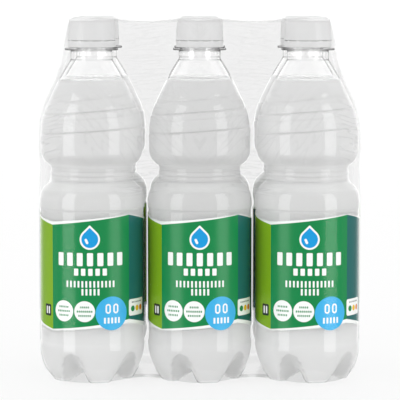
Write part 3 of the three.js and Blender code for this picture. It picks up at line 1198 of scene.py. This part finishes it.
@dataclass
class CapShape:
    """A smooth screw cap, and the tamper ring below it with its little bridges."""

    sides: int = 96
    low_radius: float = 14.55
    top_radius: float = 14.2
    low: float = 209.1
    high: float = 223.3
    # The rounded top edge, and in how many steps it goes round.
    edge: float = 4.6
    edge_steps: int = 12
    # How the lip is rounded: inwards, upwards and, on its inner side, downwards.
    lip: tuple[float, float, float] = (0.15, 0.3, 0.05)
    bore: float = 13.7
    lid: float = 222.0
    ring_low: float = 204.8
    ring_high: float = 208.7
    # How the ring is rounded: its foot inwards and upwards, its top edge, and its inner foot.
    ring_foot: Point = (0.3, 0.4)
    ring_edge: float = 0.1
    ring_inner: float = 0.8
    bridges: int = 12
    bridge_sides: int = 10
    bridge_width: int = 2
    overlap: float = 0.05

    def cap(self) -> bpy.types.Mesh:
        """Makes the cap.

        Returns:
            The mesh.
        """
        low, bore, outer = self.low, self.bore, self.low_radius
        inwards, upwards, downwards = self.lip
        turns = [math.pi / 2 * i / self.edge_steps for i in range(1, self.edge_steps + 1)]
        strokes = [
            (None, (bore, self.lid), 5.0),
            (None, (bore, low), 5.0),
            ((bore, low - downwards), (outer - inwards, low), 0.5),
            ((outer, low), (outer, low + upwards), 0.3),
            (None, (self.top_radius, self.high - self.edge), 2.0),
        ]
        for turn in turns:
            radius = self.top_radius - self.edge * (1 - math.cos(turn))
            strokes.append((None, (radius, self.high - self.edge * (1 - math.sin(turn))), 2.0))
        strokes.append((None, (POLE_RADIUS, self.high), 2.2))
        outline = drawn((POLE_RADIUS, self.lid), strokes)
        return lathe_mesh("screw_cap", revolved(outline, self.sides))

    def ring(self) -> bpy.types.Mesh:
        """Makes the tamper ring.

        Returns:
            The mesh.
        """
        low, high, bore, outer = self.ring_low, self.ring_high, self.bore, self.low_radius
        (inwards, upwards), edge = self.ring_foot, self.ring_edge
        strokes = (
            (None, (outer - inwards, low), 0.6),
            ((outer, low), (outer, low + upwards), 0.3),
            (None, (outer, high - edge), 0.8),
            (None, (outer - edge, high), 0.2),
            (None, (bore, high), 0.4),
            (None, (bore, low + self.ring_inner), 1.6),
        )
        sides = self.bridges * self.bridge_sides
        grid = revolved(drawn((bore, low), strokes), sides)
        # Each bridge is the ring's top edge drawn up into the cap over a few sides.
        bridge = np.arange(sides) % self.bridge_sides < self.bridge_width
        top = np.abs(grid[..., 2] - high) < self.overlap
        grid[..., 2] += np.where(top & bridge, self.low - high + self.overlap, 0.0)
        return lathe_mesh("tamper_ring", grid, loop=True)


@dataclass
class LabelShape:
    """The wrap-round label: a film sleeve whose edges run up and down between four corners."""

    columns: int = 360
    rows: int = 5
    inner: float = 31.98
    thickness: float = 0.2
    # At the seam the label's end laps over its beginning.
    seam: float = 180.0
    overlap: float = 0.12
    overlap_angle: float = 14.0
    overlap_turn: float = 2.0
    dip: float = 4.6
    low_corners: Point = (-46.0, 88.0)
    high_corners: Point = (46.5, 256.0)
    # A round tab hangs below the bottom edge, as distance along the label, height and radius.
    tab: tuple[float, float, float] = (13.7, 43.9, 10.35)
    # The white border above the colours, by angle.
    borders: tuple[Point, ...] = (
        (-180.0, 0.8), (-90.0, 0.8), (-46.0, 1.9), (46.5, 0.4), (90.0, 0.6), (180.0, 0.8),
    )

    def top_edge(self, angle: np.ndarray, high: float) -> np.ndarray:
        """The height of the label's top edge.

        Args:
            angle: Angles from the front.
            high: The top edge's height at its high corners.

        Returns:
            The height at each angle.
        """
        first, second = self.low_corners
        turn = first + np.mod(angle - first, 360)
        corners = (first, self.high_corners[0], second, self.high_corners[1], first + 360)
        return high - self.dip * np.interp(turn, corners, (1.0, 0.0, 1.0, 0.0, 1.0))

    def label(self, place: Place) -> bpy.types.Mesh:
        """Makes the label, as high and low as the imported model's.

        Args:
            place: The bottle whose label is read.

        Returns:
            The mesh, with its print places in two UV maps.
        """
        low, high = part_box(f"label_{place.name}")
        tall = (high.z - low.z) / MM - self.dip
        angle = np.linspace(self.seam - 360, self.seam, self.columns + 1)
        lap_from = self.seam - self.overlap_angle
        lap = self.overlap * eased(angle, lap_from, lap_from + self.overlap_turn)
        edge = self.top_edge(angle, (high.z - place.foot) / MM)
        arc = np.radians(angle) * (self.inner + self.thickness)
        along, height, radius = self.tab
        hang = height - np.sqrt(np.maximum(radius**2 - (arc - along) ** 2, 0.0))
        foot = np.minimum(edge - tall, np.where(np.abs(arc - along) < radius, hang, np.inf))
        border = np.interp(angle, *zip(*self.borders))
        mesh = bmesh.new()
        maps = [mesh.loops.layers.uv.new(name) for name in ("place", "field")]
        # The outer sheet and the inner one, each row by row, and what each point gets in the maps.
        sheets, spots = ([], []), {}
        for sheet, lift in zip(sheets, (self.thickness, 0.0)):
            for share in np.linspace(0.0, 1.0, self.rows + 1):
                sheet.append([])
                for a, r, e, f, s, b in zip(
                    angle, self.inner + lift + lap, edge, foot, arc, border
                ):
                    turn, down = math.radians(a), (e - f) * share
                    spot = Vector((r * math.sin(turn), -r * math.cos(turn), e - down))
                    vertex = mesh.verts.new(spot * MM)
                    spots[vertex] = ((s, e - down), (a, down - b))
                    sheet[-1].append(vertex)
        outer, inner = sheets
        for i in range(self.rows):
            for j in range(self.columns):
                corners = ((i, j), (i + 1, j), (i + 1, j + 1), (i, j + 1))
                mesh.faces.new([outer[a][b] for a, b in corners])
                mesh.faces.new([inner[a][b] for a, b in reversed(corners)])
        rim = [(0, j) for j in range(self.columns)]
        rim += [(i, self.columns) for i in range(self.rows)]
        rim += [(self.rows, j) for j in range(self.columns, 0, -1)]
        rim += [(i, 0) for i in range(self.rows, 0, -1)]
        for (a, b), (c, d) in zip(rim, rim[1:] + rim[:1]):
            mesh.faces.new((outer[a][b], outer[c][d], inner[c][d], inner[a][b]))
        for corner in (corner for face in mesh.faces for corner in face.loops):
            for spot_map, spot in zip(maps, spots[corner.vert]):
                corner[spot_map].uv = spot
        made = bpy.data.meshes.new("wrap_label")
        mesh.to_mesh(made)
        mesh.free()
        return smoothed(made)


@dataclass
class FilledBottle:
    """One bottle of the pack, with its drink, label, tamper ring and cap."""

    shell: bpy.types.Mesh
    drink: bpy.types.Mesh
    label: bpy.types.Mesh
    ring: bpy.types.Mesh
    cap: bpy.types.Mesh

    @classmethod
    def make(cls, place: Place) -> "FilledBottle":
        """Makes the meshes that all six bottles share.

        Args:
            place: The bottle whose label is measured.

        Returns:
            The meshes.
        """
        shape, closure, label = BottleShape(), CapShape(), LabelShape().label(place)
        return cls(shape.shell(), shape.drink(), label, closure.ring(), closure.cap())

    def stand(self, place: Place, finishes: Finishes) -> None:
        """Stands a copy of the bottle in its place in the pack.

        Args:
            place: Where it stands.
            finishes: The pack's materials.
        """
        for name, mesh, finish, slot, replaced in (
            ("pet_bottle", self.shell, finishes.pet, "pet_clear", "bottle"),
            ("cloudy_drink", self.drink, finishes.drink, "drink", "drink"),
            ("wrap_label", self.label, finishes.label, "label_print", "label"),
            ("break_ring", self.ring, finishes.cap, "cap_plastic", "tamper_ring"),
            ("screw_cap", self.cap, finishes.cap, "cap_plastic", "cap"),
        ):
            end = place.name
            add_piece(f"{name}_{end}", mesh, finish, f"{replaced}_{end}", place)


@dataclass
class FilmSleeve:
    """The shrunk film round all six bottles, open in an oval hole at each end."""

    pitch: float = 66.5
    grain: float = 1.6
    softening: int = 3
    softening_share: float = 0.5
    # Only folds sharper than this are drawn as edges.
    sharp_angle: float = 80.0
    corner_steps: int = 12
    # The film's radius round the bottle axes, by height, as it is drawn in by shrinking.
    levels: tuple[Point, ...] = (
        (-0.5, 21.5), (0.4, 24.0), (2.5, 26.6), (6.0, 29.4), (10.0, 31.2), (16.0, 32.5),
        (24.0, 32.8), (60.0, 32.9), (112.0, 32.9), (122.0, 32.6), (134.0, 32.5), (143.0, 32.8),
        (152.0, 32.8), (160.0, 32.2), (166.0, 31.0), (172.3, 28.9), (178.5, 25.8), (183.4, 23.3),
        (188.3, 21.5), (193.3, 20.0), (198.2, 18.9), (203.1, 17.9), (208.0, 17.0), (213.0, 15.9),
        (218.0, 15.0), (220.4, 14.3), (222.2, 12.9), (223.2, 11.3), (223.3, 10.2),
    )
    # How deep the film sinks between two bottles: on the sides, more at the shoulder, in the roof
    # and, drawn under by shrinking, at the foot. On the pack's ends it sinks by these shares.
    side_dip: float = 0.8
    shoulder_dip: float = 3.0
    shoulder: Point = (150.0, 190.0)
    top_sag: float = 2.4
    most_sag: float = 3.6
    roof: Point = (217.3, 222.8)
    across_sag: float = 1.2
    foot_dip: float = 6.0
    foot_rise: float = 2.5
    foot_high: float = 14.0
    end_share: float = 0.6
    end_foot_dip: float = 4.0
    # A side or an end counts as such from this far before the outer bottles' axes to beyond them.
    side_from: Point = (-2.0, 8.0)
    hole_width: float = 52.0
    hole_height: float = 84.0
    hole_centre: float = 99.2
    # A hole is cut only this far beyond the outer bottles' axes.
    hole_from: float = 20.0
    # The wrinkles' numbers, and the ranges that their sizes are drawn from.
    seed: int = 7
    fans: int = 26
    fan_turn: Point = (-90.0, 90.0)
    fan_width: Point = (0.8, 2.2)
    fan_fade: float = 1.5
    fan_length: Point = (0.25, 0.9)
    fan_rise: Point = (0.1, 0.35)
    gathers: int = 9
    gather_level: Point = (128.0, 176.0)
    gather_slope: Point = (0.05, 0.3)
    gather_start: Point = (48.0, 60.0)
    gather_length: Point = (14.0, 30.0)
    gather_rise: Point = (0.12, 0.3)
    gather_width: Point = (0.6, 1.1)
    creases: int = 220
    crease_length: Point = (6.0, 22.0)
    crease_width: Point = (0.7, 1.4)
    crease_rise: Point = (-0.18, 0.22)
    # Short creases run level more often than upright, and are followed for twice their length.
    crease_spread: tuple[float, float, float] = (1.0, 1.0, 0.5)
    crease_reach: float = 2.0
    # Where each kind of fine crease comes and goes: along the film from the middle of an end,
    # and by height on the swell, the waist and the shoulder.
    shown_ends: tuple[Point, Point] = ((38.0, 44.0), (58.0, 74.0))
    shown_swell: tuple[Point, Point] = ((130.0, 142.0), (164.0, 180.0))
    shown_waist: tuple[Point, Point] = ((112.0, 120.0), (132.0, 140.0))
    shown_shoulder: Point = (158.0, 175.0)
    # How strongly the folds show on the shoulder, and the drapes on the swell and the shoulder.
    shoulder_folds: float = 0.5
    drapes: float = 0.25
    shoulder_drapes: float = 0.6

    def outline(self, height: float, radius: float) -> list[tuple[float, float, float]]:
        """Goes once round the pack at one height.

        Args:
            height: The height.
            radius: The radius round the corner bottles.

        Returns:
            The points, in order.
        """
        points = []
        for x, y, start in ((1, -1, -90), (1, 1, 0), (-1, 1, 90), (-1, -1, 180)):
            for i in range(self.corner_steps + 1):
                turn = math.radians(start + 90 * i / self.corner_steps)
                side = x * self.pitch + radius * math.cos(turn)
                points.append((side, y * self.pitch / 2 + radius * math.sin(turn), height))
        return points

    def body(self) -> bpy.types.Mesh:
        """Makes the film's plain form as a closed surface of even squares.

        Returns:
            The mesh, in millimetres.
        """
        stack = [self.outline(height, radius) for height, radius in self.levels]
        count, vertices = len(stack[0]), [point for outline in stack for point in outline]
        ends = [tuple(reversed(range(count))), tuple(range(len(vertices) - count, len(vertices)))]
        form = placed("film_form", mesh_of("film_form", vertices, ends + quads(len(stack), count)))
        remesh = form.modifiers.new("even", "REMESH")
        remesh.mode, remesh.voxel_size = "VOXEL", self.grain
        even = form.modifiers.new("soften", "SMOOTH")
        even.factor, even.iterations = self.softening_share, self.softening
        graph = bpy.context.evaluated_depsgraph_get()
        made = bpy.data.meshes.new_from_object(form.evaluated_get(graph))
        bpy.data.objects.remove(form)
        return made

    def unrolled(self, points: np.ndarray) -> tuple[np.ndarray, np.ndarray]:
        """Measures along the film from the middle of the nearest end.

        Args:
            points: Points on the film.

        Returns:
            The distance along the film round the corner, and a number from 0 to 3 for the quarter.
        """
        x, y = np.abs(points[:, 0]), np.abs(points[:, 1])
        half = self.pitch / 2
        out, over = np.maximum(x - self.pitch, 0), np.maximum(y - half, 0)
        turn = np.arctan2(over, np.maximum(out, 1e-6))
        corner = half + np.hypot(out, over) * turn
        along = np.where(y < half, y, corner + np.maximum(self.pitch - x, 0))
        return along, (points[:, 0] > 0) * 2 + (points[:, 1] > 0)

    def by_hole(self, across: Numbers, height: Numbers) -> tuple[Numbers, Numbers]:
        """Measures places from the middle of an end hole, whose edge is 1 away all round.

        Args:
            across: How far each place is to the side of the hole's middle.
            height: How high it is.

        Returns:
            The distance, and the direction in degrees.
        """
        side = across / (self.hole_width / 2)
        up = (height - self.hole_centre) / (self.hole_height / 2)
        return np.hypot(side, up), np.degrees(np.arctan2(up, side))

    def between(self, x: np.ndarray) -> np.ndarray:
        """Goes from 0 at the bottles of a row to 1 midway between two of them."""
        return (1 - np.cos(2 * np.pi * x / self.pitch)) / 2 * (np.abs(x) < self.pitch)

    def hang(self, points: np.ndarray) -> np.ndarray:
        """How far the film sinks in between the bottles.

        Args:
            points: Points on the film's plain form.

        Returns:
            A shift for each point.
        """
        x, y, z = points.T
        half, (before, beyond) = self.pitch / 2, self.side_from
        along, across = self.between(x), (1 + np.cos(np.pi * y / half)) / 2 * (np.abs(y) < half)
        dip = self.side_dip + (self.shoulder_dip - self.side_dip) * eased(z, *self.shoulder)
        foot = 1 - eased(z, 0.0, self.foot_high)
        side = eased(np.abs(y), half + before, half + beyond)
        end = eased(np.abs(x), self.pitch + before, self.pitch + beyond)
        sag = np.minimum(self.top_sag * (along + across * self.across_sag), self.most_sag)
        end_dip = self.end_share * dip + self.end_foot_dip * foot
        shift = np.zeros_like(points)
        shift[:, 0] = -np.sign(x) * end * across * end_dip
        shift[:, 1] = -np.sign(y) * side * along * (dip + self.foot_dip * foot)
        shift[:, 2] = foot * side * along * self.foot_rise - eased(z, *self.roof) * sag
        return shift

    def wrinkles(self, points: np.ndarray) -> np.ndarray:
        """Heights of the film's creases: a fan round each end hole, and short ones all over.

        Args:
            points: Points on the film.

        Returns:
            How far each point stands out.
        """
        draw = np.random.default_rng(self.seed)
        along, quarter = self.unrolled(points)
        z = points[:, 2]
        near, turn = self.by_hole(along, z)
        rise = np.zeros(len(points))
        for here in (quarter == part for part in range(4)):
            for _ in range(self.fans):
                centre, width = draw.uniform(*self.fan_turn), draw.uniform(*self.fan_width)
                length, height = draw.uniform(*self.fan_length), draw.uniform(*self.fan_rise)
                fade = np.clip(1 - (near[here] - 1) / length, 0.0, 1.0) ** self.fan_fade
                rise[here] += height * fade * ridge(turn[here] - centre, width)
            # Gathers on the outer shoulder: nearly level folds that spread away from the end.
            for _ in range(self.gathers):
                level, slope = draw.uniform(*self.gather_level), draw.uniform(*self.gather_slope)
                start, length = draw.uniform(*self.gather_start), draw.uniform(*self.gather_length)
                lift = level + slope * (along[here] - start) - z[here]
                fade = ridge(along[here] - start - length / 2, length / 2)
                height, width = draw.uniform(*self.gather_rise), draw.uniform(*self.gather_width)
                rise[here] += height * fade * ridge(lift, width)
        for spot in points[draw.integers(0, len(points), self.creases)]:
            direction = draw.normal(size=3) * self.crease_spread
            direction /= np.linalg.norm(direction)
            length, width = draw.uniform(*self.crease_length), draw.uniform(*self.crease_width)
            away = points - spot
            close = np.abs(away).max(axis=1) < self.crease_reach * length
            run = away[close] @ direction
            across = np.linalg.norm(away[close] - run[:, None] * direction, axis=1)
            height = draw.uniform(*self.crease_rise)
            rise[close] += height * ridge(run, length) * ridge(across, width)
        return rise

    def crease_places(self, points: np.ndarray) -> dict[str, np.ndarray]:
        """Says how strongly each kind of fine crease shows at each point.

        Args:
            points: Points on the film.

        Returns:
            A share for each point, by the kind's name.
        """
        along, _ = self.unrolled(points)
        x, z = points[:, 0], np.abs(points[:, 2])
        ends, swell, waist = (
            eased(value, *comes) * (1 - eased(value, *goes))
            for value, (comes, goes) in (
                (along, self.shown_ends), (z, self.shown_swell), (z, self.shown_waist),
            )
        )
        shoulder = eased(z, *self.shown_shoulder)
        hanging = np.maximum(swell, self.shoulder_drapes * shoulder)
        return {
            "gathers": ends * swell,
            "folds": self.between(x) ** 2 * np.maximum(waist, self.shoulder_folds * shoulder),
            "drapes": self.drapes * hanging * (1 - ends),
        }

    def opened(self, mesh: bmesh.types.BMesh) -> None:
        """Cuts the oval holes out of the film's ends, and draws the cut edges onto the ovals.

        Args:
            mesh: The film, in millimetres.
        """
        middles = [(face, face.calc_center_median()) for face in mesh.faces]
        ends = [(face, m) for face, m in middles if abs(m.x) > self.pitch + self.hole_from]
        gone = [face for face, m in ends if self.by_hole(m.y, m.z)[0] < 1]
        bmesh.ops.delete(mesh, geom=gone, context="FACES")
        for vertex in (v for v in mesh.verts if v.is_boundary):
            scale = 1 / self.by_hole(vertex.co.y, vertex.co.z)[0]
            vertex.co.y *= scale
            vertex.co.z = self.hole_centre + (vertex.co.z - self.hole_centre) * scale

    def wrap(self, finishes: Finishes, foot: float) -> None:
        """Puts the film round the pack.

        Args:
            finishes: The pack's materials.
            foot: The height of the plane that the bottles stand on, in metres.
        """
        form = self.body()
        points = np.array([v.co for v in form.vertices])
        normals = np.array([v.normal for v in form.vertices])
        points = points + self.hang(points) + normals * self.wrinkles(points)[:, None]
        form.vertices.foreach_set("co", points.ravel())
        give_shares(form, self.crease_places(points))
        mesh = bmesh.new()
        mesh.from_mesh(form)
        self.opened(mesh)
        mesh.transform(Matrix.LocRotScale(Vector((0.0, 0.0, foot)), None, Vector((MM, MM, MM))))
        made = bpy.data.meshes.new("film_sleeve")
        mesh.to_mesh(made)
        mesh.free()
        sleeve = smoothed(made, self.sharp_angle)
        add_piece("film_sleeve", sleeve, finishes.film, "shrink_film")


@dataclass
class Studio:
    """The pale floor, the soft lights and the camera at the photo's view. Sizes are metres."""

    floor_half: float = 300.0
    eye: tuple[float, float, float] = (0.0002, -1.39683, 0.23542)
    # The camera looks down by this many radians. Its lens and sensor are in millimetres.
    pitch_down: float = 0.0908
    lens: float = 199.24
    sensor: float = 36.0
    clip: Point = (0.05, 1000.0)
    box_turn: float = 51.0
    box_distance: float = 1.2
    box_width: float = 0.57
    box_height: float = 1.5
    box_foot: float = -0.35
    box_radiance: float = 3.2
    # The sky is white in a band up from the horizon, this many degrees high. Light from below the
    # horizon is what a pale floor throws back.
    horizon: float = 2.2
    horizon_turn: float = 12.0
    sky: float = 1.05
    ground: float = 0.84
    # Light goes through up to this many clear skins of film and bottle one behind another.
    clear_layers: int = 40
    # A black cloth stands round the camera's side, and a grey card at each end of it.
    cloth_turn: float = 76.0
    card_turn: float = 138.0
    screen_radius: float = 1.6
    screen_height: float = 2.0
    screen_sides: int = 24

    def floor(self) -> None:
        """Lays the floor."""
        half = self.floor_half
        corners = [(-half, -half, 0), (half, -half, 0), (half, half, 0), (-half, half, 0)]
        mesh = mesh_of("studio_floor", corners, [(0, 1, 2, 3)])
        material = LightTable().make()
        material.cycles.emission_sampling = "NONE"
        mesh.materials.append(material)
        floor = placed("studio_floor", mesh)
        unseen(floor, "glossy", "diffuse")

    def screens(self) -> None:
        """Stands the cloth and the two cards. They have a roof, and show in reflections alone."""
        cloth, card = BlackVelvet().make(), GreyCard().make()
        inner, outer, high = self.cloth_turn, self.card_turn, self.screen_height
        rings = [(self.screen_radius, -high), (self.screen_radius, high), (0.0, high)]
        for name, material, start, end in (
            ("black_flag", cloth, -inner, inner),
            ("left_card", card, -outer, -inner),
            ("right_card", card, inner, outer),
        ):
            turns = np.radians(np.linspace(start, end, self.screen_sides + 1)).tolist()
            vertices = [(r * math.sin(a), -r * math.cos(a), z) for r, z in rings for a in turns]
            mesh = mesh_of(name, vertices, quads(len(rings), len(turns), shut=False))
            mesh.materials.append(material)
            screen = placed(name, mesh)
            unseen(screen, "camera", "diffuse", "transmission", "volume_scatter", "shadow")

    def lights(self) -> None:
        """Hangs a tall soft light on each side of the camera."""
        turn = math.radians(self.box_turn)
        for side in (-1, 1):
            light = bpy.data.lights.new("tall_softbox", "AREA")
            light.shape = "RECTANGLE"
            light.size, light.size_y = self.box_width, self.box_height
            light.energy = self.box_radiance * math.pi * (self.box_width * self.box_height)
            lamp = placed("tall_softbox", light)
            lamp.location = (
                side * self.box_distance * math.sin(turn),
                -self.box_distance * math.cos(turn),
                self.box_height / 2 + self.box_foot,
            )
            lamp.rotation_euler = (math.pi / 2, 0, side * turn)
            unseen(lamp, "diffuse", "camera")

    def world(self) -> None:
        """Spreads an even pale sky, which gives all of the diffuse light."""
        world = bpy.data.worlds.new("even_sky")
        world.use_nodes = True
        world.node_tree.nodes.clear()
        add = partial(node, world.node_tree)
        turn = math.radians(self.horizon_turn)
        up = add("SeparateXYZ", {0: add("TexCoord").outputs["Generated"]}).outputs["Z"]
        ends = {"From Min": math.sin(turn), "From Max": math.sin(2 * turn)}
        above = add("MapRange", {"Value": up, **ends, "To Min": self.horizon, "To Max": self.sky})
        ends = {"From Min": math.sin(-turn), "From Max": 0.0}
        glow = add("MapRange", {"Value": up, **ends, "To Min": self.ground, "To Max": above})
        add("OutputWorld", {"Surface": add("Background", {"Color": glow})})
        bpy.context.scene.world = world

    def camera(self) -> None:
        """Sets the camera at the photo's view."""
        data = bpy.data.cameras.new("photo_view")
        data.lens, data.sensor_width = self.lens, self.sensor
        data.clip_start, data.clip_end = self.clip
        camera = placed("photo_view", data)
        camera.location = self.eye
        camera.rotation_euler = (math.pi / 2 - self.pitch_down, 0.0, 0.0)
        bpy.context.scene.camera = camera

    def build(self) -> None:
        """Sets up the whole studio."""
        self.camera()
        self.floor()
        self.screens()
        self.lights()
        self.world()
        bpy.context.scene.cycles.transparent_max_bounces = self.clear_layers
        view = bpy.context.scene.view_settings
        view.view_transform, view.look = "Standard", "None"


def main() -> None:
    """Builds the studio, the six bottles and the film round them."""
    logging.basicConfig(level=logging.INFO, format="%(message)s")
    Studio().build()
    finishes = Finishes()
    places = [Place.read(row, column) for row in Row for column in Column]
    bottle = FilledBottle.make(places[0])
    for place in places:
        bottle.stand(place, finishes)
    FilmSleeve().wrap(finishes, places[0].foot)


if __name__ == "__main__":
    main()
